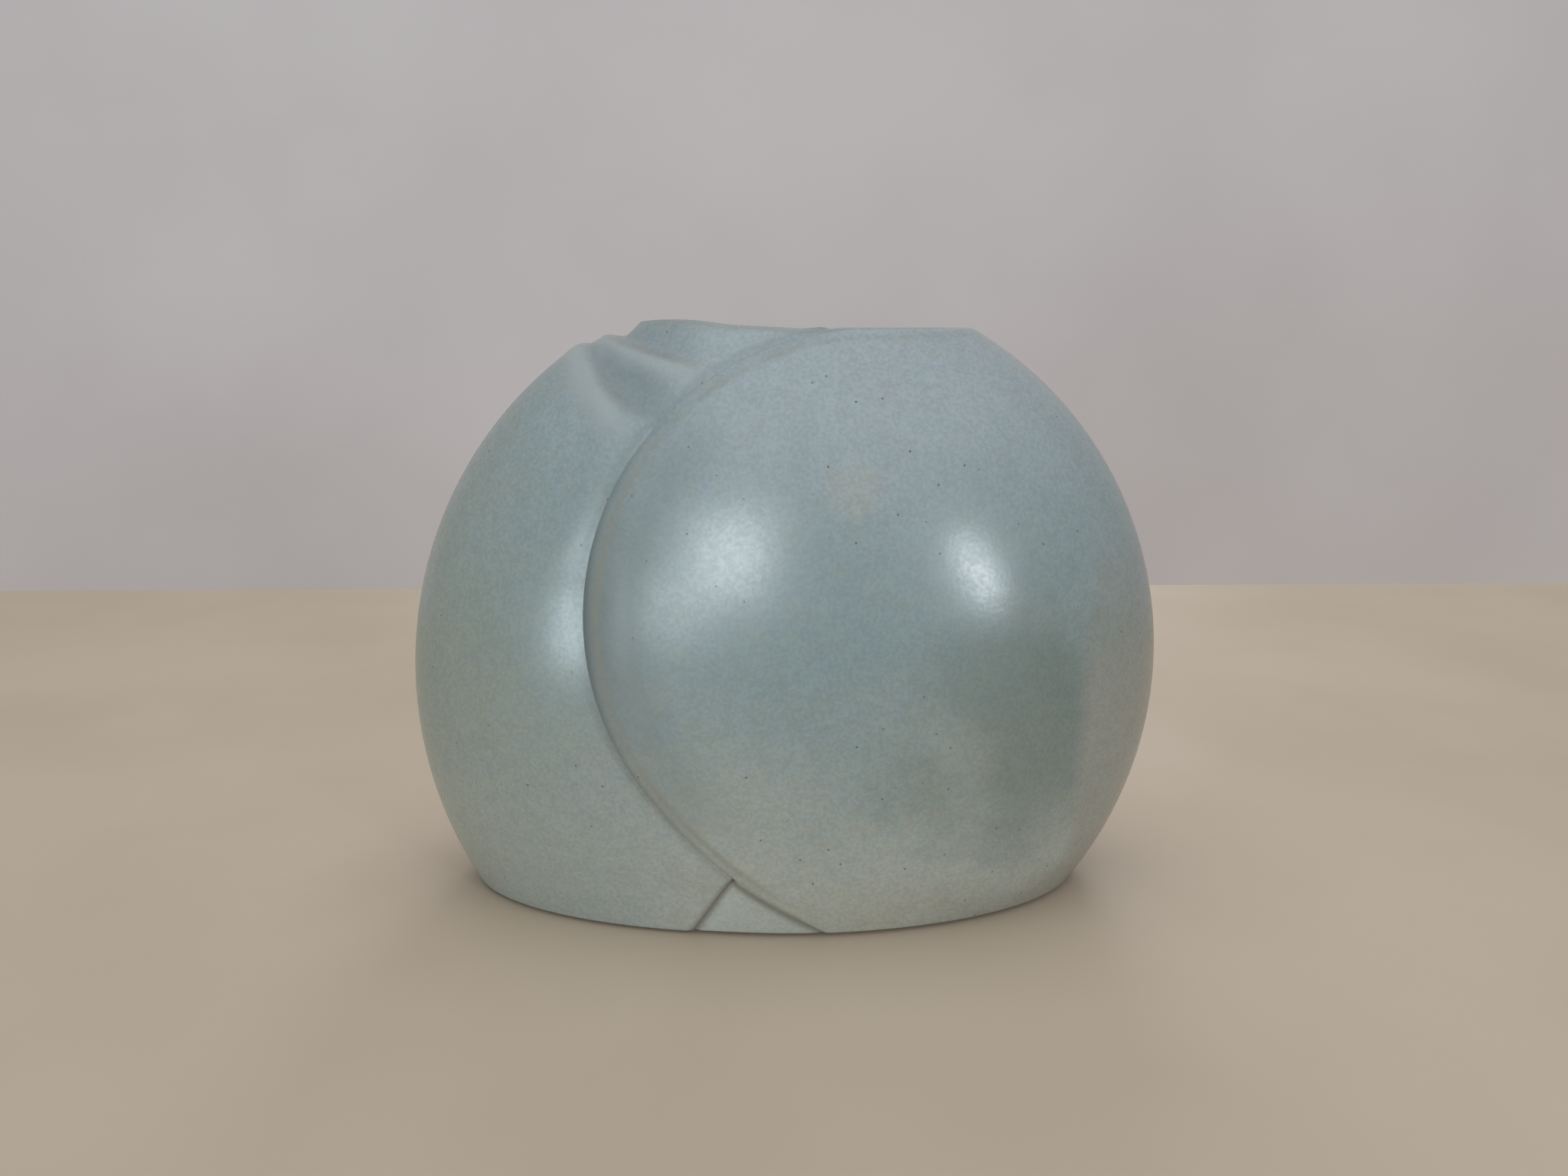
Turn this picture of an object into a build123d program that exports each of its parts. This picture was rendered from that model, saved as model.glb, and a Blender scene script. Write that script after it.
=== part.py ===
"""Pillow vase in millimetres: two lapped shells, a pleated collar, gussets, floor, foot and lining.

X runs along the width, Y from front to back and Z up from the table. The front and the back mirror
each other, so every outline is drawn in the XZ plane and carried right through the depth.
"""
import os
from math import sqrt

from build123d import *

# Overall sizes. The heights and the places across the width below are shares of these.
BODY_HALF_WIDTH = 94.0
RIGHT_HALF_DEPTH = 47.0
EAR_HEIGHT = 142.6
EAR_RISE = 2.6
RIM_HEIGHT = EAR_HEIGHT - EAR_RISE

# Swelling of the body. Each shell is an ellipsoid cut off at the foot and at the rim.
RIGHT_HALF_HEIGHT = 0.682 * RIM_HEIGHT
RIGHT_BELLY_HEIGHT = 0.407 * RIM_HEIGHT
RIGHT_WALL = 4.5
LEFT_HALF_HEIGHT = 0.718 * RIM_HEIGHT
LEFT_BELLY_HEIGHT = 0.368 * RIM_HEIGHT
LEFT_WALL = 5.5
EDGE_LIFT = 0.6

# Seam where the right shell laps over the others: a round disc edge that runs out to a straighter skirt.
# The top of the disc is also the rim of the right shell.
SEAM_CENTRE_X = 0.195 * BODY_HALF_WIDTH
SEAM_RADIUS = 0.45 * RIM_HEIGHT
SEAM_CENTRE_HEIGHT = RIM_HEIGHT - SEAM_RADIUS
SEAM_TURN_ANGLE = 217.0
SKIRT_RADIUS = 1.03 * RIM_HEIGHT
SKIRT_ANGLE = 20.0
SKIRT_RUN_OUT = 0.2 * RIM_HEIGHT
SEAM_STEP = 3.5
SEAM_LAP = 8.0
SEAM_ROUND = 2.2

# Gusset between the two shells' lower edges.
GUSSET_APEX_X = -0.13 * BODY_HALF_WIDTH
GUSSET_APEX_HEIGHT = 0.126 * RIM_HEIGHT
GUSSET_FOOT_X = -0.245 * BODY_HALF_WIDTH
GUSSET_TUCK_HEIGHT = 0.186 * RIM_HEIGHT
GUSSET_RECESS = 1.6
GUSSET_LAP = 5.0

# Collar: two pleats, each set back behind the fold below it, up to a rim with a raised ear at the left.
LOWER_FOLD_CENTRE_X = -0.286 * BODY_HALF_WIDTH
LOWER_FOLD_CENTRE_HEIGHT = 1.028 * RIM_HEIGHT
LOWER_FOLD_RADIUS = 0.17 * RIM_HEIGHT
LOWER_FOLD_STEP = 2.0
UPPER_FOLD_LEFT_X = -0.532 * BODY_HALF_WIDTH
UPPER_FOLD_LEFT_HEIGHT = 1.026 * RIM_HEIGHT
UPPER_FOLD_RIGHT_X = -0.149 * BODY_HALF_WIDTH
UPPER_FOLD_RIGHT_HEIGHT = 0.929 * RIM_HEIGHT
UPPER_FOLD_RADIUS = 0.607 * RIM_HEIGHT
UPPER_FOLD_STEP = 1.4
EAR_RIGHT_X = -0.223 * BODY_HALF_WIDTH

# Floor, foot and lining.
FOOT_HEIGHT = 3.0
FOOT_WIDTH = 6.0
FOOT_CLEARANCE = 0.5
FLOOR_THICKNESS = 5.5
LINING_THICKNESS = 0.5
LINING_DROP = 8.0
LINING_HEIGHT = RIM_HEIGHT - LINING_DROP

# Reach of every cutting shape past the body.
OVERRUN = 30.0

LEFT_HALF_DEPTH = RIGHT_HALF_DEPTH - SEAM_STEP
FLOOR_TOP = FOOT_HEIGHT + FLOOR_THICKNESS
FAR_X = BODY_HALF_WIDTH + OVERRUN
FAR_DEPTH = RIGHT_HALF_DEPTH + OVERRUN
FAR_TOP = EAR_HEIGHT + OVERRUN


def swelling(half_width, half_depth, half_height, belly_height, turn):
    """Ellipsoid with its widest level at the belly height and its closing line turned out of the way."""
    ball = Rot(0, 0, turn) * Sphere(half_width)
    return Pos(0, 0, belly_height) * scale(ball, by=(1, half_depth / half_width, half_height / half_width))


def right_swelling(inset):
    return swelling(
        BODY_HALF_WIDTH - inset, RIGHT_HALF_DEPTH - inset, RIGHT_HALF_HEIGHT - inset, RIGHT_BELLY_HEIGHT, 180
    )


def left_swelling(inset):
    return swelling(
        BODY_HALF_WIDTH - inset, LEFT_HALF_DEPTH - inset, LEFT_HALF_HEIGHT - inset, LEFT_BELLY_HEIGHT, 0
    )


def through(outline):
    """Prism of a closed XZ outline, carried through the whole depth."""
    return extrude(Plane.XZ * make_face(outline), amount=FAR_DEPTH, both=True)


def slab(bottom, top):
    """Everything between two heights."""
    seat = (Align.CENTER, Align.CENTER, Align.MIN)
    return Pos(0, 0, bottom) * Box(FAR_X + FAR_X, FAR_DEPTH + FAR_DEPTH, top - bottom, align=seat)


def seam_lines(lap):
    """Disc edge, skirt and run-out of the seam, moved in under the right shell by the lap."""
    centre = (SEAM_CENTRE_X, SEAM_CENTRE_HEIGHT)
    disc = CenterArc(centre, SEAM_RADIUS - lap, 90, SEAM_TURN_ANGLE - 90)
    skirt = JernArc(disc @ 1, disc % 1, SKIRT_RADIUS - lap, SKIRT_ANGLE)
    run_out = Line(skirt @ 1, skirt @ 1 + (skirt % 1) * SKIRT_RUN_OUT)
    return disc, skirt, run_out


def right_region():
    """Everything to the right of the seam and below the top of its disc."""
    disc, skirt, run_out = seam_lines(0)
    end = run_out @ 1
    rest = Polyline(end, (FAR_X, end.Y), (FAR_X, RIM_HEIGHT), disc @ 0)
    return through([disc, skirt, run_out, rest.edges()])


def lap_region(inset):
    """Everything to the right of the end of the lap, open at the top for the mouth."""
    disc, skirt, run_out = seam_lines(SEAM_LAP + inset)
    end = run_out @ 1
    rest = Polyline(end, (FAR_X, end.Y), (FAR_X, FAR_TOP), (SEAM_CENTRE_X, FAR_TOP), disc @ 0)
    return through([disc, skirt, run_out, rest.edges()])


def gusset_region(lap):
    """Everything to the right of the left shell's lower edge, up to the tuck under the right shell."""
    lean = (GUSSET_APEX_X - GUSSET_FOOT_X) / GUSSET_APEX_HEIGHT
    foot_x = GUSSET_FOOT_X - lap - lean * OVERRUN
    tuck_x = GUSSET_FOOT_X - lap + lean * GUSSET_TUCK_HEIGHT
    foot = (foot_x, -OVERRUN)
    tuck = (tuck_x, GUSSET_TUCK_HEIGHT)
    return through(Polyline(foot, (FAR_X, -OVERRUN), (FAR_X, GUSSET_TUCK_HEIGHT), tuck, close=True))


def collar_region():
    """Everything above the lower fold, from its left end to far under the right shell."""
    fold = CenterArc((LOWER_FOLD_CENTRE_X, LOWER_FOLD_CENTRE_HEIGHT), LOWER_FOLD_RADIUS, 180, 90)
    left = fold @ 0
    low = fold @ 1
    rest = Polyline(low, (FAR_X, low.Y), (FAR_X, FAR_TOP), (left.X, FAR_TOP), left)
    return through([fold, rest.edges()])


def upper_pleat_region():
    """Everything above the upper fold."""
    left = (UPPER_FOLD_LEFT_X, UPPER_FOLD_LEFT_HEIGHT)
    right = (UPPER_FOLD_RIGHT_X, UPPER_FOLD_RIGHT_HEIGHT)
    fold = RadiusArc(left, right, UPPER_FOLD_RADIUS)
    far_right = (FAR_X, UPPER_FOLD_RIGHT_HEIGHT)
    rest = Polyline(right, far_right, (FAR_X, FAR_TOP), (UPPER_FOLD_LEFT_X, FAR_TOP), left)
    return through([fold, rest.edges()])


def below_rim():
    """Everything between the lifted lower edge and the collar's rim line."""
    return through(
        Polyline(
            (-FAR_X, EDGE_LIFT), (FAR_X, EDGE_LIFT), (FAR_X, RIM_HEIGHT), (SEAM_CENTRE_X, RIM_HEIGHT),
            (EAR_RIGHT_X, EAR_HEIGHT), (-FAR_X, EAR_HEIGHT), close=True,
        )
    )


def cavity(inset):
    """Inside of the vase, stepped where the right shell runs on past the end of the lap."""
    right_part = lap_region(inset)
    wide = right_swelling(RIGHT_WALL + inset) & right_part
    narrow = left_swelling(LEFT_WALL + inset) - right_part
    return wide + narrow


def make_gussets(under_layer):
    panels = under_layer & gusset_region(GUSSET_LAP) & left_swelling(GUSSET_RECESS)
    front, back = panels.solids().sort_by(Axis.Y)
    return front, back


def make_collar(under_layer):
    """Lower pleat one step behind the left shell, upper pleat one more step behind the lower one."""
    lower = under_layer & collar_region() & left_swelling(LOWER_FOLD_STEP)
    setback = upper_pleat_region() - left_swelling(LOWER_FOLD_STEP + UPPER_FOLD_STEP)
    return lower - setback


def make_left_shell(under_layer, gussets):
    return under_layer - collar_region() - gusset_region(0) - list(gussets)


def make_right_shell(hollow, under_pieces):
    """Wrap with a rolled edge along the seam and the rim, hollowed and seated on the pieces under it."""
    wrap = right_swelling(0) & right_region() & slab(EDGE_LIFT, FAR_TOP)
    skin = wrap.faces().sort_by(SortBy.AREA)[-1]
    edges = [edge for edge in skin.edges() if edge.center().X < BODY_HALF_WIDTH - OVERRUN]
    rolled = [edge for edge in edges if edge.center().Z > EDGE_LIFT + EDGE_LIFT]
    return fillet(rolled, SEAM_ROUND) - hollow - list(under_pieces)


def make_floor(hollow):
    return hollow & slab(FOOT_HEIGHT, FLOOR_TOP)


def table_share(half_height, belly_height):
    """Share of a swelling's widest size that is left at the level of the table."""
    level = belly_height / half_height
    return sqrt(1 - level * level)


def make_foot():
    """Oval ring inside the shells' lower edges, with a flat underside to stand on."""
    right_share = table_share(RIGHT_HALF_HEIGHT - RIGHT_WALL, RIGHT_BELLY_HEIGHT)
    left_share = table_share(LEFT_HALF_HEIGHT - LEFT_WALL, LEFT_BELLY_HEIGHT)
    half_width = (BODY_HALF_WIDTH - RIGHT_WALL) * right_share - FOOT_CLEARANCE
    half_depth = (LEFT_HALF_DEPTH - LEFT_WALL) * left_share - FOOT_CLEARANCE
    ring = Ellipse(half_width, half_depth) - Ellipse(half_width - FOOT_WIDTH, half_depth - FOOT_WIDTH)
    return extrude(ring, amount=FOOT_HEIGHT)


def make_lining(hollow):
    water = cavity(LINING_THICKNESS) & slab(FLOOR_TOP + LINING_THICKNESS, FAR_TOP)
    return (hollow & slab(FLOOR_TOP, LINING_HEIGHT)) - water


def build():
    hollow = cavity(0)
    under_layer = (left_swelling(0) & below_rim()) - hollow - lap_region(0)
    front_gusset, back_gusset = make_gussets(under_layer)
    collar = make_collar(under_layer)
    left_shell = make_left_shell(under_layer, (front_gusset, back_gusset))
    right_shell = make_right_shell(hollow, (left_shell, collar, front_gusset, back_gusset))
    return {
        "right_shell": right_shell,
        "left_shell": left_shell,
        "pleated_collar": collar,
        "front_gusset": front_gusset,
        "back_gusset": back_gusset,
        "floor_slab": make_floor(hollow),
        "foot_ring": make_foot(),
        "inner_glaze": make_lining(hollow),
    }


os.makedirs("parts", exist_ok=True)
for node, solid in build().items():
    export_step(solid, f"parts/{node}.step")
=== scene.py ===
"""Celadon pillow vase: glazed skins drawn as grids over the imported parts.

Lengths are in millimetres in the parts' own frame: X along the width, the front at minus Y and Z up.
"""

from collections import namedtuple
from math import radians

import bmesh
import bpy
import numpy as np
from mathutils import Matrix, Vector


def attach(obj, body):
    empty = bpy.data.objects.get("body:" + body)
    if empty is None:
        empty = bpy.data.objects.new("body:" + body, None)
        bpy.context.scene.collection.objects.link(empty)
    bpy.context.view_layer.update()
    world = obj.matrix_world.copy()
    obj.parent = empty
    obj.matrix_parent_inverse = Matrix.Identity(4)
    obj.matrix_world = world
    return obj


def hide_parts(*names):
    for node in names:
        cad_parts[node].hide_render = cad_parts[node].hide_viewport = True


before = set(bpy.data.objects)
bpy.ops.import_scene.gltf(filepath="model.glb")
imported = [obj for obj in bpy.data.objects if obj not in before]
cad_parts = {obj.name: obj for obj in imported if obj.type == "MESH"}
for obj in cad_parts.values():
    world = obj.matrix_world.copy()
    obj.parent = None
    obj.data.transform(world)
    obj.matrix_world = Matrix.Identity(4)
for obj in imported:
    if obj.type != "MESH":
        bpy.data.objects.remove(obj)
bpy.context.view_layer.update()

MM = 0.001

# Each shell is an ellipsoid cut off at the foot and at the rim. The belly is the height of its widest level.
Swelling = namedtuple("Swelling", "half_width half_depth half_height belly")
RIGHT = Swelling(94.0, 47.0, 95.5, 57.0)
LEFT = Swelling(94.0, 43.5, 100.5, 51.5)
BASE = 0.6

# Seam before its edge is rolled: a round disc that runs out to a wider skirt.
DISC_X, DISC_Z, DISC_R = 18.2, 77.3, 63.9
SKIRT_TURN = radians(215.0)
SKIRT_R = 137.3
SKIRT_X = DISC_X + (DISC_R - SKIRT_R) * np.cos(SKIRT_TURN)
SKIRT_Z = DISC_Z + (DISC_R - SKIRT_R) * np.sin(SKIRT_TURN)
SKIRT_TOP = DISC_Z + DISC_R * np.sin(SKIRT_TURN)

# Walls, and the lap of the left pieces under the disc, which grows over a short rise above the gusset.
RIGHT_WALL = 4.5
LEFT_WALL = 5.0
SEAM_LAP = 9.0
LAP_RISE = 9.0

# Gusset between the shells' lower edges: the left shell's edge leans from the foot to the apex.
GUSSET_FOOT_X = -22.4
GUSSET_APEX = (-11.6, 17.7)
GUSSET_TOP = 24.0
GUSSET_RECESS = 0.3
GUSSET_WALL = 4.0
GUSSET_TUCK = (6.0, 7.0)
GUSSET_EDGE_R = 0.6

# Folds of the collar as circles seen from the front, and the split between the collar and the left shell.
FOLD_X, FOLD_Z, FOLD_R = -18.0, 147.6, 32.2
SPLIT_X, SPLIT_Z, SPLIT_R = -26.9, 143.9, 27.3
UPPER_X, UPPER_Z, UPPER_R = -1.0, 215.6, 86.5

# Lining: its floor, the rounded corner above it, its upper edge, its glaze and its depth under each swelling.
FLOOR_TOP = 9.0
CORNER_R = 9.0
LINING_TOP = 134.0
LINING_GLAZE = 0.5
RIGHT_CAVITY = 4.85
LEFT_CAVITY = 5.5

# Values that every skin carries for its glaze: thin places, pooled glaze and painted shade, crests with a
# painted highlight and dull places.
MARKS = ("thin", "pool_and_shade", "crest", "dull")
GLAZE_GLOSS = 0.75

# Smallest share that a slope is divided by.
LEAST_SLOPE = 0.05

# Room and camera in metres and radians.
ROOM_SIDE = 1.5
TABLE_FRONT = -0.37
WALL_BACK = 0.33
WALL_TOP = 1.6
VASE_MIDDLE = (0.0, 0.0, 0.075)
CAMERA_PLACE = (-0.0022, -0.2911, 0.14406)
CAMERA_YAW = radians(-0.433)
CAMERA_TILT = radians(90.0 - 13.111)
CAMERA_ROLL = radians(-0.201)


def ease(t):
    """Rises from 0 to 1 with no slope at either end."""
    t = np.clip(t, 0.0, 1.0)
    return t * t * (3.0 - 2.0 * t)


def bell(t):
    """One at t = 0, falling off to both sides as a bell curve."""
    return np.exp(-t * t)


def share(shell, z):
    """Part of an ellipsoid's widest section that is left at height z."""
    level = (z - shell.belly) / shell.half_height
    return np.sqrt(np.clip(1.0 - level * level, 1e-6, 1.0))


def skin(shell, side, turn, z):
    """Points and outward normals of an ellipsoid: an oval at each height, with the turn counted from its end
    on the given side."""
    size = share(shell, z)
    x = side * shell.half_width * size * np.cos(turn)
    y = -shell.half_depth * size * np.sin(turn)
    points = np.stack([x, y, z + 0.0 * x], axis=-1)
    up = (z - shell.belly) / shell.half_height ** 2 + 0.0 * x
    normals = np.stack([x / shell.half_width ** 2, y / shell.half_depth ** 2, up], axis=-1)
    return points, normals / np.linalg.norm(normals, axis=-1, keepdims=True)


def half_depth_at(shell, x, z):
    """Half depth of an ellipsoid where its section at height z is cut at x."""
    return shell.half_depth * np.sqrt(np.clip(share(shell, z) ** 2 - (x / shell.half_width) ** 2, 0.0, None))


def cavity(shell, wall):
    """Ellipsoid that lies inside another one by the thickness of a wall."""
    return Swelling(shell.half_width - wall, shell.half_depth - wall, shell.half_height - wall, shell.belly)


def steepness(normals):
    """Level share of each normal: 1 on an upright wall and small on a level one."""
    return np.sqrt(np.clip(1.0 - normals[..., 2] ** 2, LEAST_SLOPE, 1.0))


def turn_at(shell, side, x, z):
    """Turn from the end of the oval at height z at which its front reaches x."""
    return np.arccos(np.clip(side * x / (shell.half_width * share(shell, z)), -1.0, 1.0))


def seam_x(z):
    """Seam from the front: the disc's left half above the skirt's start, the skirt's arc below it."""
    disc = DISC_X - np.sqrt(np.clip(DISC_R**2 - (z - DISC_Z) ** 2, 0.0, None))
    skirt = SKIRT_X - np.sqrt(np.clip(SKIRT_R**2 - (z - SKIRT_Z) ** 2, 0.0, None))
    return np.where(z > SKIRT_TOP, disc, skirt)


def seam_gap(x, z):
    """Distance in from the seam's outline in the XZ plane, negative outside it."""
    disc = DISC_R - np.hypot(np.minimum(x - DISC_X, 0.0), z - DISC_Z)
    skirt = SKIRT_R - np.hypot(np.minimum(x - SKIRT_X, 0.0), z - SKIRT_Z)
    return np.where(z > SKIRT_TOP, disc, skirt)


def seam_distance(points, normals):
    """Distance in from the seam or the rim, measured along the leaning surface."""
    x, z = points[..., 0], points[..., 2]
    centre_x = np.where(z > SKIRT_TOP, DISC_X, SKIRT_X)
    centre_z = np.where(z > SKIRT_TOP, DISC_Z, SKIRT_Z)
    out_x = np.minimum(x - centre_x, 0.0)
    out_z = z - centre_z
    length = np.maximum(np.hypot(out_x, out_z), 1e-6)
    lean = (normals[..., 0] * out_x + normals[..., 2] * out_z) / length
    facing = np.clip(np.abs(normals[..., 1]), LEAST_SLOPE, 1.0)
    slope = np.where(x < DISC_X, np.sqrt(1.0 + (lean / facing) ** 2), 1.0 / steepness(normals))
    return seam_gap(x, z) * slope


def roll(distance, radius):
    """Quarter round: how far the surface has dropped at a distance from its edge."""
    inner = np.clip(radius - distance, 0.0, radius)
    return radius - np.sqrt(np.clip(radius**2 - inner**2, 0.0, None))


def brim(distance, height):
    """Fall of the disc before its rounded edge: a short cubic, and a soft dip along the gusset."""
    remaining = np.clip(1.0 - distance / 4.0, 0.0, 1.0)
    dip = 0.4 * (1.0 - ease((height - 14.0) / 10.0)) * bell(distance)
    return 0.28 * remaining**3 + dip


def edge_radius(height):
    """Radius of the disc's rounded edge: smallest at the foot, larger at the rim, largest half way up."""
    return 0.6 + 1.0 * ease((height - 10.0) / 18.0) + 1.4 * bell((height - 68.0) / 42.0)


def edge_rows(low, high, count):
    """Heights that bunch up towards the low end with the square of the count."""
    return low + (high - low) * np.linspace(0.0, 1.0, count) ** 2


def columns(count):
    """Shares from 1 to -1 that bunch up towards both ends."""
    return np.sin(np.linspace(np.pi / 2.0, -np.pi / 2.0, count))


def gusset_x(z):
    """Lower edge of the left shell from the front: a straight line from the foot up to the apex."""
    return GUSSET_FOOT_X + (GUSSET_APEX[0] - GUSSET_FOOT_X) * z / GUSSET_APEX[1]


def left_edge_x(z):
    """Hidden edge of the left pieces: the gusset's line, a lap under the disc, then a slope up to the rim."""
    remaining = np.clip(1.0 - (z - GUSSET_APEX[1]) / LAP_RISE, 0.0, 1.0)
    lapped = seam_x(z) + SEAM_LAP * (1.0 - remaining**2)
    sloped = -22.0 + 1.75 * (z - 120.0)
    upper = lapped + (sloped - lapped) * ease((z - 104.0) / 22.0)
    return np.where(z < GUSSET_APEX[1], gusset_x(z), upper)


def fold_inset(x, z):
    """Distance in from the lower fold: a quarter circle at the left that runs out level to the right."""
    return FOLD_R - np.hypot(np.minimum(x - FOLD_X, 0.0), FOLD_Z - z)


def upper_fold_gap(x, z):
    """Distance below the upper fold, the lower part of a wide circle; negative above it."""
    return np.hypot(x - UPPER_X, z - UPPER_Z) - UPPER_R


def pleat_depth(x, z):
    """Depth under the left swelling: a raised crest along the lower fold, a bowl behind it that climbs to the
    upper fold, a second hollow above that, a dent round the left end and a rise towards the disc's edge at
    the right."""
    inset = fold_inset(x, z)
    below = upper_fold_gap(x, z)
    above = np.maximum(-below, 0.0)
    way = np.clip(inset / np.maximum(inset + np.maximum(below, 0.0), 1e-3), 0.0, 1.0)
    fold_level = 1.0 + 0.8 * ease((-30.0 - x) / 12.0)
    end = ease((-41.0 - x) / 6.0)
    deepest = 3.2 * (1.0 - 0.60 * ease((x + 34.0) / 13.0)) * (1.0 - 0.45 * end)
    bowl = deepest * (0.55 * ease(inset / 4.8) + 0.45 * ease(way / 0.50))
    lower = bowl + (fold_level - deepest) * ease((way - 0.5) / 0.5)
    hollow = 2.4 - 1.5 * ease((x + 31.0) / 20.0) - 1.0 * end
    upper = fold_level + hollow * (ease(above / 4.4) - 0.7 * ease((above - 3.6) / 7.0))
    crest = -0.9 * bell((inset + 0.8) / 3.2) * (1.0 - 0.9 * ease((x + 40.0) / 11.0)) * (1.0 - 0.6 * end)
    brow = -0.35 * bell((below - 0.6) / 1.5) * ease(inset / 3.0)
    from_end = bell(half_depth_at(LEFT, x, z) / 8.0)
    dent = 1.2 * ease((z - 136.0) / 3.0) * from_end * (1.0 - ease(inset / 4.0))
    left = np.where(below > 0.0, lower, upper) + crest + brow + dent
    right = 0.9 - 0.9 * ease((x + 10.0) / 22.0)
    near_disc = ease((x + 25.0) / 19.0) * ease((inset + 0.4) / 5.6)
    return np.where(inset > -9.0, left + (right - left) * near_disc, 0.0) - seam_lift(x, z)


def seam_lift(x, z):
    """Rise of the left pieces beside the disc: a bell along the seam, less a short fall into the seam itself
    beside the disc's upper half."""
    outside = np.maximum(-seam_gap(x, z), 0.0)
    upper = 2.1 * ease((z - 86.0) / 30.0) * (1.0 - 0.7 * ease((x + 14.0) / 20.0))
    rise = (0.2 + 1.0 * bell((z - 21.0) / 9.0) + upper) * bell(outside / 12.0)
    fall = 0.10 * np.clip(1.0 - outside / 7.0, 0.0, 1.0) ** 3 * bell((z - 100.0) / 10.0)
    return (rise - fall) * ease((z - 10.0) / 8.0)


def split_height(turn_share):
    """Height at which each column crosses the split between left shell and collar, found by halving."""
    low = np.full_like(turn_share, 100.0)
    high = np.full_like(turn_share, SPLIT_Z)
    for _ in range(50):
        middle = 0.5 * (low + high)
        turn = turn_share * turn_at(LEFT, -1.0, left_edge_x(middle), middle)
        x = -LEFT.half_width * share(LEFT, middle) * np.cos(turn)
        reach = np.clip(SPLIT_R**2 - np.minimum(x - SPLIT_X, 0.0) ** 2, 0.0, None)
        over = middle > SPLIT_Z - np.sqrt(reach)
        high = np.where(over, middle, high)
        low = np.where(over, low, middle)
    return 0.5 * (low + high)


def rim_apex(x):
    """Height of the lip from the front: level along the ear, sloping down to the disc and sunk below it at
    the end."""
    fall = 1.5 * ease((x + 24.0) / 16.0) + 0.9 * ease((x + 12.0) / 22.0) + 0.3 * ease((-29.0 - x) / 5.0)
    return 142.7 - fall - 1.7 * ease((x - 9.5) / 5.5)


def collar_top(turn_share):
    """Height of the collar's unrolled edge on the left swelling, before the pleats lower it."""
    z = np.full_like(turn_share, 143.0)
    for _ in range(40):
        turn = turn_share * turn_at(LEFT, -1.0, left_edge_x(z), z)
        points, normals = skin(LEFT, -1.0, turn, z)
        depth = pleat_depth(points[..., 0], z)
        goal = rim_apex(points[..., 0] - depth * normals[..., 0]) + 1.0 + depth * normals[..., 2]
        z = z + 0.4 * (goal - z)
    return z


def make_piece(name, outer, inner, marks):
    """Closed mesh from an outer and an inner grid: both sheets and the walls between their borders, with the
    borders that coincide welded together."""
    rows, cols = outer.shape[:2]
    count = rows * cols
    index = np.arange(count).reshape(rows, cols)
    corners = [index[:-1, :-1], index[:-1, 1:], index[1:, 1:], index[1:, :-1]]
    quads = np.stack(corners, axis=-1).reshape(-1, 4)
    border = np.concatenate([index[0, :-1], index[:-1, -1], index[-1, :0:-1], index[:0:-1, 0]])
    after = np.roll(border, -1)
    wall = np.stack([after, border, border + count, after + count], axis=-1)
    faces = np.concatenate([quads, quads[:, ::-1] + count, wall])
    points = np.concatenate([outer.reshape(-1, 3), inner.reshape(-1, 3)]) * MM
    return weld(name, points, faces, {key: np.tile(value.ravel(), 2) for key, value in marks.items()})


def weld(name, points, faces, marks):
    """Mesh object with doubled points merged, normals outward, smooth shading and one value per point and
    mark."""
    mesh = bpy.data.meshes.new(name)
    mesh.from_pydata(points.tolist(), [], faces.tolist())
    for key in MARKS:
        value = marks.get(key, 0.0 * points[:, 0])
        mesh.attributes.new(key, "FLOAT", "POINT").data.foreach_set("value", value.astype(np.float32))
    work = bmesh.new()
    work.from_mesh(mesh)
    bmesh.ops.remove_doubles(work, verts=work.verts, dist=2e-6)
    bmesh.ops.dissolve_degenerate(work, edges=work.edges, dist=1e-7)
    bmesh.ops.recalc_face_normals(work, faces=work.faces)
    work.to_mesh(mesh)
    work.free()
    mesh.polygons.foreach_set("use_smooth", np.ones(len(mesh.polygons), dtype=bool))
    mesh.set_sharp_from_angle(angle=radians(60.0))
    piece = bpy.data.objects.new(name, mesh)
    bpy.context.scene.collection.objects.link(piece)
    return piece


def rolled_piece(name, points, normals, depth, wall, distance, radius, marks):
    """Piece whose outer and inner sheets both roll in to meet along the edges that have a distance."""
    drop = depth + roll(distance, radius)
    rise = depth + wall - roll(distance, wall - radius)
    outer = points - normals * drop[..., None]
    inner = points - normals * rise[..., None]
    return make_piece(name, outer, inner, marks)


def base_distance(points, normals):
    """Distance up from the lower edge, measured along the leaning surface."""
    return (points[..., 2] - BASE) / steepness(normals)


def swell_step(x, z):
    """How far the right swelling's front stands before the left swelling's."""
    return half_depth_at(RIGHT, x, z) - half_depth_at(LEFT, x, z)


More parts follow.
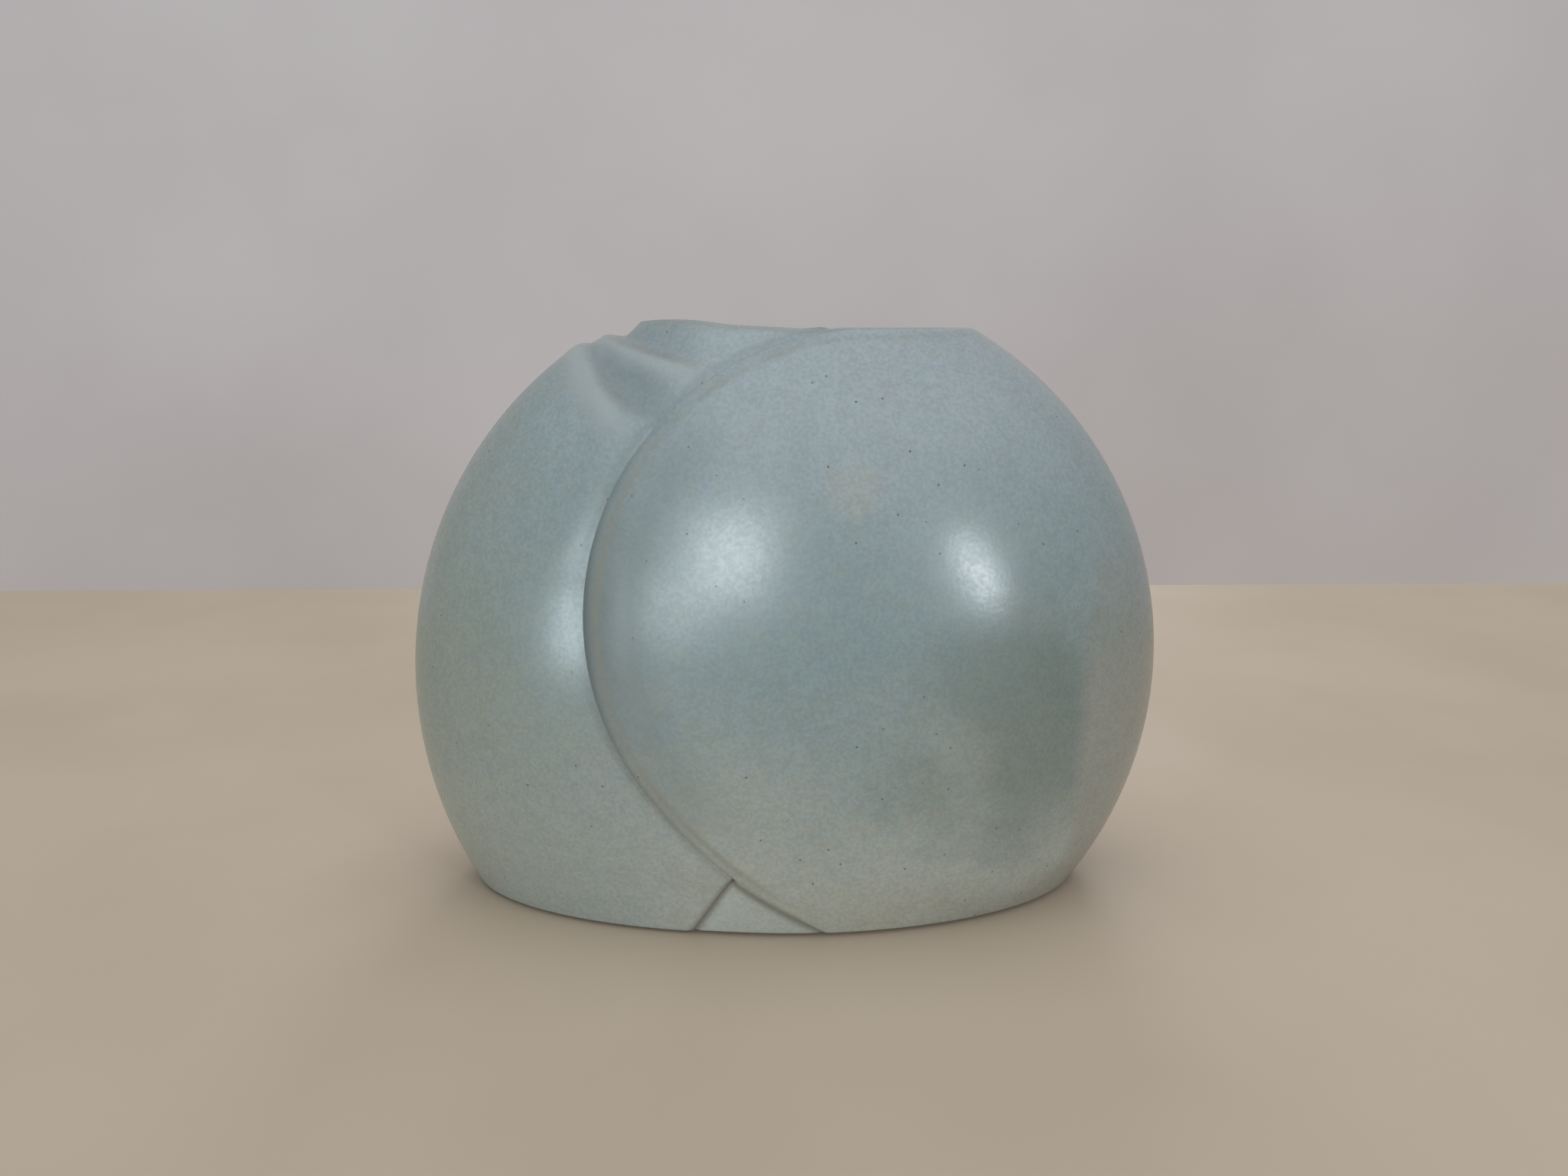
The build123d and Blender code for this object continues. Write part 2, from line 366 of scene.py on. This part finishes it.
def make_right_shell():
    """Right ellipsoid from the seam at the front round the right end to the seam at the back; rows follow the
    disc's edge, and the seam, rim and foot edges are rolled."""
    skirt_rows = np.concatenate([edge_rows(BASE, 9.0, 18), np.linspace(9.0, SKIRT_TOP, 26)[1:]])
    disc_rows = DISC_Z + DISC_R * np.sin(np.linspace(SKIRT_TURN, 0.5 * np.pi, 118))
    z = np.concatenate([skirt_rows, disc_rows[1:]])[:, None]
    turn = columns(185)[None, :] * turn_at(RIGHT, 1.0, seam_x(z), z)
    points, normals = skin(RIGHT, 1.0, turn, z)
    seam = seam_distance(points, normals)
    foot = base_distance(points, normals)
    distance = np.minimum(seam, foot)
    height = points[..., 2]
    lip = ease((points[..., 0] - 4.0) / 14.0) * ease((height - 120.0) / 14.0)
    radius = edge_radius(height)
    middle = bell((height - 75.0) / 34.0)
    upper = ease((height - 95.0) / 20.0)
    low = ease((height - 2.0) / 20.0)
    # Painted shade along the seam: a dark line on the rolled edge and a broad painted shadow on the disc beside
    # it. Low down, the line takes the brown of the pooled glaze.
    line = bell(seam - 1.6) * (1.0 - lip) * (0.22 + 0.16 * upper) * (1.0 - 0.6 * middle) * low
    zone = ease((height - 24.0) / 16.0) * (1.0 - ease((height - 112.0) / 14.0))
    shadow = (0.4 + 1.0 * bell((height - 78.0) / 24.0)) * zone * ease((20.0 - seam) / 15.0)
    thin = bell((seam - 3.2 - middle) / 0.9) * (1.0 - 0.5 * lip) * (0.9 - 0.35 * upper) * low
    dull = ease((13.0 - seam) / 10.0) * ease((height - 26.0) / 20.0)
    dull = dull * (1.0 - ease((height - 108.0) / 20.0))
    marks = {"thin": thin, "pool_and_shade": line + shadow, "dull": dull}
    depth = brim(seam, height) * (1.0 - lip) * ease(foot / 6.0)
    return rolled_piece("right_shell_skin", points, normals, depth, RIGHT_WALL, distance, radius, marks)


def left_grid(turn_share, z):
    """Points, normals and pleat depth of the left swelling at the given shares of the way to its hidden
    edge."""
    turn = turn_share * turn_at(LEFT, -1.0, left_edge_x(z), z)
    points, normals = skin(LEFT, -1.0, turn, z)
    return points, normals, pleat_depth(points[..., 0], points[..., 2])


def groove_marks(points):
    """Glaze marks of the pieces beside the seam: pooled glaze with painted shade in the bowl between the folds
    and in the hollow above them, painted shade in the corner along the disc, a painted highlight along the
    crests, thin above the upper fold."""
    x, z = points[..., 0], points[..., 2]
    inset = fold_inset(x, z)
    below = upper_fold_gap(x, z)
    fade = 1.0 - ease((x + 40.0) / 10.0)
    # Glaze pooled in the bowl and the hollow, darkened further as painted shade.
    bowl = ease((inset - 0.8) / 3.5) * ease(below / 5.0) * (1.0 - ease((x + 32.0) / 12.0))
    hollow = ease(-below / 2.0) * (1.0 - ease((x + 28.0) / 13.0))
    # Painted highlight along the lower fold's crest and, as the brow, along the upper fold.
    crest = bell((inset + 1.2) / 3.2) * fade
    along = 1.0 - ease((x + 22.0) / 8.0)
    brow = 0.8 * bell((below - 1.0) / 2.0) * ease(inset / 4.0) * along
    edge = bell((below + 1.4) / 1.2) * ease(inset / 4.0) * along
    # Painted shade in the corner beside the disc's edge.
    beside = 0.6 * (1.0 - bell((z - 80.0) / 34.0)) * (1.0 - 0.3 * ease((z - 112.0) / 14.0))
    corner = beside * bell((seam_gap(x, z) - 0.3) / 1.1)
    pool_and_shade = np.maximum(np.maximum(0.65 * bowl, 0.40 * hollow), corner)
    return {"thin": 0.3 * edge, "pool_and_shade": pool_and_shade, "crest": np.maximum(crest, brow)}


def make_left_shell():
    """Left ellipsoid from its hidden edge at the front round the left end to the back, from the foot up to
    the split below the lower fold; its foot and side edges are rolled."""
    turn_share = columns(171)[None, :]
    top = split_height(turn_share)
    rise = np.concatenate([edge_rows(0.0, 0.06, 16), np.linspace(0.06, 1.0, 110)[1:]])[:, None]
    points, normals, depth = left_grid(turn_share, BASE + (top - BASE) * rise)
    foot = base_distance(points, normals)
    side = np.maximum(left_edge_x(points[..., 2]) - points[..., 0], 0.0) * 0.9
    distance = np.minimum(foot, side)
    marks = groove_marks(points)
    below = ease((GUSSET_APEX[1] + 3.0 - points[..., 2]) / 4.0)
    # Brown glaze and painted shade in the groove along the gusset.
    marks["pool_and_shade"] = np.maximum(marks["pool_and_shade"], 1.4 * below * bell(side / 1.1))
    radius = 0.5 + 1.4 * ease((points[..., 2] - 22.0) / 8.0)
    depth = depth + 0.4 * below * bell(side)
    return rolled_piece("left_shell_skin", points, normals, depth, LEFT_WALL, distance, radius, marks)


def make_collar():
    """Pleated strip on the left ellipsoid from the split round the left end, up to a rolled lip; it thins out
    under the disc."""
    turn_share = columns(171)[None, :]
    bottom = split_height(turn_share)
    top = collar_top(turn_share)
    rise = np.sin(np.linspace(0.0, 0.5 * np.pi, 96))[:, None]
    points, normals, depth = left_grid(turn_share, bottom + (top - bottom) * rise)
    height = points[..., 2]
    side = np.maximum(left_edge_x(height) - points[..., 0], 0.0) * 0.9
    lip = (top - height) / steepness(normals)
    thickness = 1.2 + (3.8 - 0.3 * np.clip(depth, 0.0, 4.0)) * ease(side / 9.0)
    marks = groove_marks(points)
    marks["thin"] = np.maximum(marks["thin"], 0.55 * bell((lip - 1.2) / 0.9))
    # Painted highlight along the crests, faded towards the lip.
    marks["crest"] = marks["crest"] * ease((lip - 1.0) / 3.0)
    distance = np.minimum(lip, side)
    radius = 0.5 * thickness
    return rolled_piece("pleated_collar_skin", points, normals, depth, thickness, distance, radius, marks)


def make_gusset(name, face):
    """Panel on the left ellipsoid between the left shell's leaning edge and the skirt, set a little way in
    and tucked under both, with a soft groove along each; face is 1 at the front and -1 at the back."""
    z = np.concatenate([edge_rows(BASE, 6.0, 14), np.linspace(6.0, GUSSET_TOP, 30)[1:]])[:, None]
    across = 0.5 - 0.5 * np.cos(np.linspace(0.0, np.pi, 60))[None, :]
    x = gusset_x(z) - GUSSET_TUCK[0] + (seam_x(z) + sum(GUSSET_TUCK) - gusset_x(z)) * across
    turn = turn_at(LEFT, -1.0, x, z)
    points, normals = skin(LEFT, -1.0, face * turn, z)
    foot = base_distance(points, normals)
    side = np.minimum(x - x[:, :1], x[:, -1:] - x)
    top = GUSSET_TOP - points[..., 2]
    distance = np.minimum(np.minimum(foot, side), top)
    from_groove = x - gusset_x(z)
    groove = np.maximum(bell(from_groove / 0.9), bell(seam_gap(x, z) / 0.9))
    over = ease(from_groove / np.maximum(seam_x(z) - gusset_x(z), 1.0))
    depth = GUSSET_RECESS + 0.35 * groove - swell_step(x, z) * over
    # Brown glaze and painted shade in the grooves along both edges.
    marks = {"pool_and_shade": 1.4 * np.maximum(bell(from_groove / 1.1), bell(seam_gap(x, z) / 1.1))}
    return rolled_piece(name, points, normals, depth, GUSSET_WALL, distance, GUSSET_EDGE_R, marks)


def lining_sheet(inset):
    """Cup inside the walls: a flat floor, a rounded corner and walls that follow the left cavity at the left
    and the right cavity at the right."""
    corner = np.linspace(0.0, 0.5 * np.pi, 10)[1:]
    floor = np.linspace(0.0, 1.0, 12)
    wall_rows = np.linspace(FLOOR_TOP + CORNER_R, LINING_TOP, 64)[1:]
    bend = FLOOR_TOP + CORNER_R * (1.0 - np.cos(corner))
    z = np.concatenate([0.0 * floor + FLOOR_TOP, bend, wall_rows])[:, None]
    bend_pull = CORNER_R * (1.0 - np.sin(corner))
    pull = np.concatenate([0.0 * floor + CORNER_R, bend_pull, 0.0 * wall_rows])[:, None]
    size = np.concatenate([floor, 0.0 * corner + 1.0, 0.0 * wall_rows + 1.0])[:, None]
    turn = np.linspace(0.0, 2.0 * np.pi, 144, endpoint=False)[None, :]
    sink = 1.2 * ease((z - 126.0) / 8.0)
    right = cavity(RIGHT, RIGHT_CAVITY)
    left = cavity(LEFT, LEFT_CAVITY)
    reach = np.where(np.cos(turn) > 0.0, right.half_width * share(right, z), left.half_width * share(left, z))
    x = (reach - pull - inset + sink) * size * np.cos(turn)
    over = ease((x - seam_x(z) - SEAM_LAP) / 16.0)
    half_depth = left.half_depth * share(left, z) * (1.0 - over) + right.half_depth * share(right, z) * over
    y = -(half_depth - pull - inset + sink) * size * np.sin(turn)
    level = z + inset * (1.0 - ease((z - FLOOR_TOP) / CORNER_R)) + 0.0 * x
    return np.stack([x, y, level], axis=-1)


def make_lining():
    """Thin cup of glaze: an outer and an inner sheet, each closed round and at the floor's middle, that are
    joined by a wall along the upper edge."""
    outer = lining_sheet(0.0)
    inner = lining_sheet(LINING_GLAZE)
    rows, cols = outer.shape[:2]
    count = rows * cols
    index = np.arange(count).reshape(rows, cols)
    after = np.roll(index, -1, axis=1)
    quads = np.stack([index[:-1], after[:-1], after[1:], index[1:]], axis=-1).reshape(-1, 4)
    wall = np.stack([after[-1], index[-1], index[-1] + count, after[-1] + count], axis=-1)
    faces = np.concatenate([quads, quads[:, ::-1] + count, wall])
    points = np.concatenate([outer.reshape(-1, 3), inner.reshape(-1, 3)]) * MM
    return weld("inner_glaze_skin", points, faces, {})


class Graph:
    """Small helper that adds nodes to a tree and links them."""

    def __init__(self, tree):
        self.tree = tree

    def node(self, kind, **settings):
        made = self.tree.nodes.new(kind)
        for key, value in settings.items():
            setattr(made, key, value)
        return made

    def link(self, source, target):
        self.tree.links.new(source, target)

    def feed(self, socket, value):
        if isinstance(value, bpy.types.NodeSocket):
            self.link(value, socket)
        else:
            socket.default_value = value

    def math(self, operation, first, second=0.0):
        made = self.node("ShaderNodeMath", operation=operation)
        self.feed(made.inputs[0], first)
        self.feed(made.inputs[1], second)
        return made.outputs[0]

    def times(self, first, second):
        return self.math("MULTIPLY", first, second)

    def plus(self, first, second):
        return self.math("ADD", first, second)

    def spot(self, places, centre, sharpness):
        """Squared distance from a centre, with each axis stretched by its sharpness."""
        shifted = [self.math("SUBTRACT", place, middle) for place, middle in zip(places, centre)]
        stretched = [self.times(place, factor) for place, factor in zip(shifted, sharpness)]
        return self.plus(*[self.times(place, place) for place in stretched])

    def span(self, value, low, high, start=0.0, end=1.0):
        """Smooth step of a value between two bounds."""
        made = self.node("ShaderNodeMapRange", interpolation_type="SMOOTHSTEP")
        for socket, given in zip(made.inputs[:5], (value, low, high, start, end)):
            self.feed(socket, given)
        return made.outputs[0]

    def mix(self, factor, first, second, blend="MIX"):
        made = self.node("ShaderNodeMix", data_type="RGBA", blend_type=blend)
        self.feed(made.inputs[0], factor)
        self.feed(made.inputs[6], first)
        self.feed(made.inputs[7], second)
        return made.outputs[2]

    def noise(self, vector, scale, detail=2.0):
        made = self.node("ShaderNodeTexNoise")
        self.link(vector, made.inputs["Vector"])
        made.inputs["Scale"].default_value = scale
        made.inputs["Detail"].default_value = detail
        return made.outputs[0]

    def mark(self, name):
        return self.node("ShaderNodeAttribute", attribute_name=name).outputs["Fac"]


def colour(red, green, blue):
    return (red, green, blue, 1.0)


def new_group(name, inputs, outputs):
    """Shader node group with the given sockets, and a graph to fill it with."""
    tree = bpy.data.node_groups.new(name, "ShaderNodeTree")
    for label, kind in inputs:
        tree.interface.new_socket(name=label, in_out="INPUT", socket_type=kind)
    for label, kind in outputs:
        tree.interface.new_socket(name=label, in_out="OUTPUT", socket_type=kind)
    graph = Graph(tree)
    return tree, graph, graph.node("NodeGroupInput"), graph.node("NodeGroupOutput")


def make_glaze_group():
    """Glaze colour by place: bluish and lighter at the top, partly glaze tone and partly painted skylight;
    greener at the left, with a painted reflection at its very end; paler at the foot, partly glaze and partly
    painted light from the table, with painted shade at the foot's right;
    darker in a patch at the right beside a pale end that is partly thin glaze and partly painted reflection;
    with clouds, a pale warm spot on the front, a fine mottle and dark specks; a painted highlight along crests,
    darker where it pools and where shade is painted, brown where it is thin."""
    inputs = [(label, "NodeSocketColor") for label in ("Upper", "Middle", "Left", "Lower")]
    outputs = [("Colour", "NodeSocketColor"), ("Roughness", "NodeSocketFloat"), ("Height", "NodeSocketFloat")]
    tree, graph, given, result = new_group("celadon_coat", inputs, outputs)
    times, span = graph.times, graph.span
    place = graph.node("ShaderNodeTexCoord").outputs["Object"]
    axes = graph.node("ShaderNodeSeparateXYZ")
    graph.link(place, axes.inputs[0])
    across, depth, up = axes.outputs
    cloud = graph.math("SUBTRACT", graph.noise(place, 26.0, 3.0), 0.5)
    drift = times(cloud, 0.045)
    height = graph.plus(up, drift)
    side = graph.plus(across, drift)

    # Broad tones: the top bluish and lighter, partly glaze tone and partly painted skylight; the lower part
    # paler, partly glaze and partly painted bounce light from the table.
    shade = graph.mix(span(side, -0.030, -0.085), given.outputs["Middle"], given.outputs["Left"])
    bluish = times(span(height, 0.070, 0.135), span(side, -0.055, -0.006, 0.22, 1.0))
    bluish = times(bluish, span(side, 0.045, 0.085, 1.0, 0.65))
    shade = graph.mix(bluish, shade, given.outputs["Upper"])
    near_foot = times(span(height, 0.072, 0.006), span(side, -0.055, -0.010, 0.52, 1.0))
    shade = graph.mix(near_foot, shade, given.outputs["Lower"])

    # Patches: a dark one at the right beside a pale end, a painted reflection at the left end, the foot with
    # painted shade at its right, blotches and a pale warm spot on the front.
    # Darker green in a patch at the right.
    dark_patch = times(span(graph.spot((side, height), (0.0595, 0.055), (31.0, 35.0)), 1.6, 0.0), 0.60)
    shade = graph.mix(dark_patch, shade, colour(0.125, 0.158, 0.130))
    # Pale at the right end: partly thin glaze, partly a painted reflection of the table and wall.
    ragged = graph.plus(across, times(cloud, 0.012))
    thin_end_and_reflection = times(span(ragged, 0.0675, 0.0735), span(height, 0.100, 0.055))
    shade = graph.mix(times(thin_end_and_reflection, 0.85), shade, colour(0.296, 0.298, 0.264))
    # Painted reflection: lighter along the far left end.
    left_end_reflection = times(span(side, -0.070, -0.092, 0.0, 0.40), span(height, 0.060, 0.085))
    shade = graph.mix(left_end_reflection, shade, colour(0.360, 0.392, 0.360))
    # Foot on the right half: pale and warm, partly thin glaze and partly a painted reflection of the table,
    # darkening towards the right end as painted shade.
    warm_foot_and_reflection = times(span(height, 0.024, 0.005), span(side, 0.004, 0.020, 0.0, 0.85))
    foot = graph.mix(span(side, 0.022, 0.058), colour(0.376, 0.372, 0.322), colour(0.300, 0.294, 0.250))
    shade = graph.mix(warm_foot_and_reflection, shade, foot)
    blotch = span(graph.noise(place, 42.0, 2.0), 0.54, 0.72, 0.0, 0.20)
    shade = graph.mix(blotch, shade, colour(0.355, 0.368, 0.350))
    # A pale warm spot high on the front.
    pale_spot = span(graph.spot((across, up), (0.0150, 0.1070), (120.0, 120.0)), 1.0, 0.0, 0.0, 0.34)
    front = graph.math("LESS_THAN", depth, 0.0)
    shade = graph.mix(times(pale_spot, front), shade, colour(0.440, 0.415, 0.365))

    # Mottle and specks.
    tint = span(graph.noise(place, 260.0, 2.0), 0.32, 0.68)
    tint = graph.mix(tint, colour(1.016, 1.0, 0.978), colour(0.984, 1.0, 1.022))
    shade = graph.mix(1.0, shade, tint, "MULTIPLY")
    fine = graph.noise(place, 1100.0, 2.0)
    broad = graph.noise(place, 330.0, 2.0)
    speckle = graph.plus(times(fine, 0.7), times(broad, 0.3))
    lightness = span(speckle, 0.30, 0.70, 0.91, 1.09)
    grey = graph.node("ShaderNodeCombineColor")
    for socket in grey.inputs[:3]:
        graph.link(lightness, socket)
    shade = graph.mix(1.0, shade, grey.outputs[0], "MULTIPLY")
    cells = graph.node("ShaderNodeTexVoronoi")
    graph.link(place, cells.inputs["Vector"])
    cells.inputs["Scale"].default_value = 330.0
    pick = graph.node("ShaderNodeSeparateColor")
    graph.link(cells.outputs["Color"], pick.inputs[0])
    chosen = graph.math("LESS_THAN", pick.outputs[0], 0.16)
    speck = times(span(cells.outputs["Distance"], 0.12, 0.06), chosen)
    shade = graph.mix(times(speck, 0.75), shade, colour(0.075, 0.085, 0.080))

    # Places that the skins mark: painted highlights on crests, pooled glaze and painted shade, and thin glaze.
    shade = graph.mix(times(graph.mark("crest"), 0.80), shade, colour(0.385, 0.425, 0.425))
    # Darker where glaze pools and where shade is painted: brown low down, grey-green above.
    pool_and_shade_tone = graph.mix(span(up, 0.022, 0.060), colour(0.150, 0.132, 0.100), colour(0.125, 0.152, 0.147))
    shade = graph.mix(times(graph.mark("pool_and_shade"), 0.55), shade, pool_and_shade_tone)
    patchy = span(graph.noise(place, 240.0, 2.0), 0.25, 0.60, 0.55, 1.0)
    thin = times(graph.mark("thin"), times(patchy, 0.6))
    shade = graph.mix(thin, shade, colour(0.230, 0.212, 0.152))
    graph.link(shade, result.inputs["Colour"])
    satin = span(speckle, 0.30, 0.70, 0.27, 0.22)
    dry = times(graph.mark("dull"), 0.34)
    graph.link(graph.plus(satin, dry), result.inputs["Roughness"])
    graph.link(speckle, result.inputs["Height"])
    return tree


def make_clay_group():
    """Bare clay: two sandy tones by a cloud, with fine dark grains."""
    outputs = [("Colour", "NodeSocketColor"), ("Height", "NodeSocketFloat")]
    tree, graph, _, result = new_group("bare_body", [], outputs)
    place = graph.node("ShaderNodeTexCoord").outputs["Object"]
    cloud = graph.noise(place, 60.0, 4.0)
    grain = graph.noise(place, 1400.0, 2.0)
    shade = graph.mix(graph.span(cloud, 0.35, 0.65), colour(0.56, 0.47, 0.36), colour(0.66, 0.58, 0.47))
    shade = graph.mix(graph.span(grain, 0.62, 0.74, 0.0, 0.5), shade, colour(0.30, 0.22, 0.15))
    graph.link(shade, result.inputs["Colour"])
    graph.link(grain, result.inputs["Height"])
    return tree


def new_material(name):
    """Material with its Principled node and a graph on its tree."""
    material = bpy.data.materials.new(name)
    material.use_nodes = True
    graph = Graph(material.node_tree)
    return material, graph, material.node_tree.nodes["Principled BSDF"]


def glaze(name, group, palette):
    """Satin glaze material with its own palette."""
    material, graph, shader = new_material(name)
    coat = graph.node("ShaderNodeGroup", node_tree=group)
    for label, value in palette.items():
        coat.inputs[label].default_value = value
    graph.link(coat.outputs["Colour"], shader.inputs["Base Color"])
    graph.link(coat.outputs["Roughness"], shader.inputs["Roughness"])
    bump = graph.node("ShaderNodeBump")
    bump.inputs["Strength"].default_value = 0.10
    bump.inputs["Distance"].default_value = 0.0002
    graph.link(coat.outputs["Height"], bump.inputs["Height"])
    graph.link(bump.outputs[0], shader.inputs["Normal"])
    shader.inputs["Specular IOR Level"].default_value = GLAZE_GLOSS
    return material


def clay(name, group):
    """Dry clay material."""
    material, graph, shader = new_material(name)
    body = graph.node("ShaderNodeGroup", node_tree=group)
    graph.link(body.outputs["Colour"], shader.inputs["Base Color"])
    bump = graph.node("ShaderNodeBump")
    bump.inputs["Strength"].default_value = 0.3
    bump.inputs["Distance"].default_value = 0.0003
    graph.link(body.outputs["Height"], bump.inputs["Height"])
    graph.link(bump.outputs[0], shader.inputs["Normal"])
    shader.inputs["Roughness"].default_value = 0.85
    return material


def plain(name, first, second, scale, rough):
    """Plain surface for the room, two close tones in soft clouds."""
    material, graph, shader = new_material(name)
    place = graph.node("ShaderNodeTexCoord").outputs["Object"]
    cloud = graph.span(graph.noise(place, scale, 3.0), 0.3, 0.7)
    graph.link(graph.mix(cloud, first, second), shader.inputs["Base Color"])
    shader.inputs["Roughness"].default_value = rough
    return material


def dress(piece, material):
    piece.data.materials.clear()
    piece.data.materials.append(material)


def stand_in(piece, node, material):
    """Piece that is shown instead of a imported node."""
    dress(piece, material)
    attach(piece, "root")
    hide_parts(node)


def make_plane(name, corners, material):
    mesh = bpy.data.meshes.new(name)
    mesh.from_pydata(corners, [], [(0, 1, 2, 3)])
    piece = bpy.data.objects.new(name, mesh)
    bpy.context.scene.collection.objects.link(piece)
    dress(piece, material)
    return piece


def make_lamp(name, place, size, power, tint, lean=0.0):
    """Soft rectangular lamp that faces the middle of the vase, turned about its own axis by its lean in
    degrees."""
    lamp = bpy.data.lights.new(name, "AREA")
    lamp.shape = "RECTANGLE"
    lamp.size, lamp.size_y = size
    lamp.energy = power
    lamp.color = tint
    holder = bpy.data.objects.new(name, lamp)
    holder.location = place
    aim = Vector(VASE_MIDDLE) - Vector(place)
    holder.rotation_euler = aim.to_track_quat("-Z", "Y").to_euler()
    holder.rotation_euler.rotate_axis("Z", radians(lean))
    bpy.context.scene.collection.objects.link(holder)
    return holder


glaze_group = make_glaze_group()
clay_group = make_clay_group()
# Where a palette's Upper is lighter and bluer than its Middle, that is partly glaze tone and partly painted
# skylight; where its Lower is paler, it is partly glaze and partly painted bounce light from the table.
celadon = glaze("celadon_glaze", glaze_group, {
    "Upper": colour(0.356, 0.412, 0.428),
    "Middle": colour(0.236, 0.300, 0.300),
    "Left": colour(0.252, 0.290, 0.254),
    "Lower": colour(0.382, 0.400, 0.352),
})
gusset_tone = colour(0.390, 0.418, 0.378)
pale_celadon = glaze("pale_glaze", glaze_group, {
    "Upper": gusset_tone,
    "Middle": gusset_tone,
    "Left": gusset_tone,
    "Lower": colour(0.418, 0.446, 0.404),
})
lining_celadon = glaze("lining_glaze", glaze_group, {
    "Upper": colour(0.285, 0.334, 0.346),
    "Middle": colour(0.250, 0.300, 0.292),
    "Left": colour(0.245, 0.285, 0.262),
    "Lower": colour(0.285, 0.305, 0.275),
})
bare_clay = clay("bare_clay", clay_group)

stand_in(make_right_shell(), "right_shell", celadon)
stand_in(make_left_shell(), "left_shell", celadon)
stand_in(make_collar(), "pleated_collar", celadon)
stand_in(make_gusset("front_gusset_skin", 1.0), "front_gusset", pale_celadon)
stand_in(make_gusset("back_gusset_skin", -1.0), "back_gusset", pale_celadon)
stand_in(make_lining(), "inner_glaze", lining_celadon)
for node in ("floor_slab", "foot_ring"):
    dress(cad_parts[node], bare_clay)

table = plain("table_top", colour(0.60, 0.49, 0.37), colour(0.64, 0.53, 0.41), 9.0, 0.6)
wall = plain("back_wall", colour(0.62, 0.575, 0.575), colour(0.66, 0.615, 0.615), 7.0, 0.9)
make_plane("table", [
    (-ROOM_SIDE, TABLE_FRONT, 0.0),
    (ROOM_SIDE, TABLE_FRONT, 0.0),
    (ROOM_SIDE, WALL_BACK, 0.0),
    (-ROOM_SIDE, WALL_BACK, 0.0),
], table)
backdrop = make_plane("wall", [
    (-ROOM_SIDE, WALL_BACK, 0.0),
    (ROOM_SIDE, WALL_BACK, 0.0),
    (ROOM_SIDE, WALL_BACK, WALL_TOP),
    (-ROOM_SIDE, WALL_BACK, WALL_TOP),
], wall)
backdrop.visible_shadow = False
backdrop.visible_diffuse = False

make_lamp("front_window", (-0.190, -1.058, 0.312), (0.26, 0.31), 2.1, (0.87, 0.955, 1.0))
make_lamp("low_window", (-0.385, -1.030, 0.105), (0.24, 0.24), 0.65, (0.90, 0.96, 1.0))
make_lamp("right_window", (0.711, -0.831, 0.226), (0.095, 0.255), 1.55, (0.89, 0.96, 1.0), 22.0)
make_lamp("left_window", (-0.740, -0.824, 0.014), (0.19, 0.34), 1.85, (0.78, 0.92, 1.0))
ceiling = make_lamp("ceiling", (0.0, -0.05, 1.25), (1.0, 0.8), 4.0, (1.0, 0.99, 0.98))
ceiling.visible_glossy = False
make_lamp("back_fill", (0.15, 1.10, 0.45), (0.5, 0.5), 2.5, (0.97, 0.98, 1.0))

world = bpy.data.worlds.new("soft_room")
world.use_nodes = True
sky = world.node_tree.nodes["Background"]
sky.inputs["Color"].default_value = colour(0.93, 0.96, 1.0)
sky.inputs["Strength"].default_value = 0.40
bpy.context.scene.world = world
bpy.context.scene.view_settings.view_transform = "Standard"

eye = bpy.data.cameras.new("camera")
eye.sensor_fit = "HORIZONTAL"
eye.sensor_width = 36.0
eye.lens = 27.05
eye.clip_start = 0.01
camera = bpy.data.objects.new("camera", eye)
turned = Matrix.Rotation(CAMERA_YAW, 4, "Z") @ Matrix.Rotation(CAMERA_TILT, 4, "X")
turned = turned @ Matrix.Rotation(CAMERA_ROLL, 4, "Z")
camera.matrix_world = Matrix.Translation(CAMERA_PLACE) @ turned
bpy.context.scene.collection.objects.link(camera)
bpy.context.scene.camera = camera
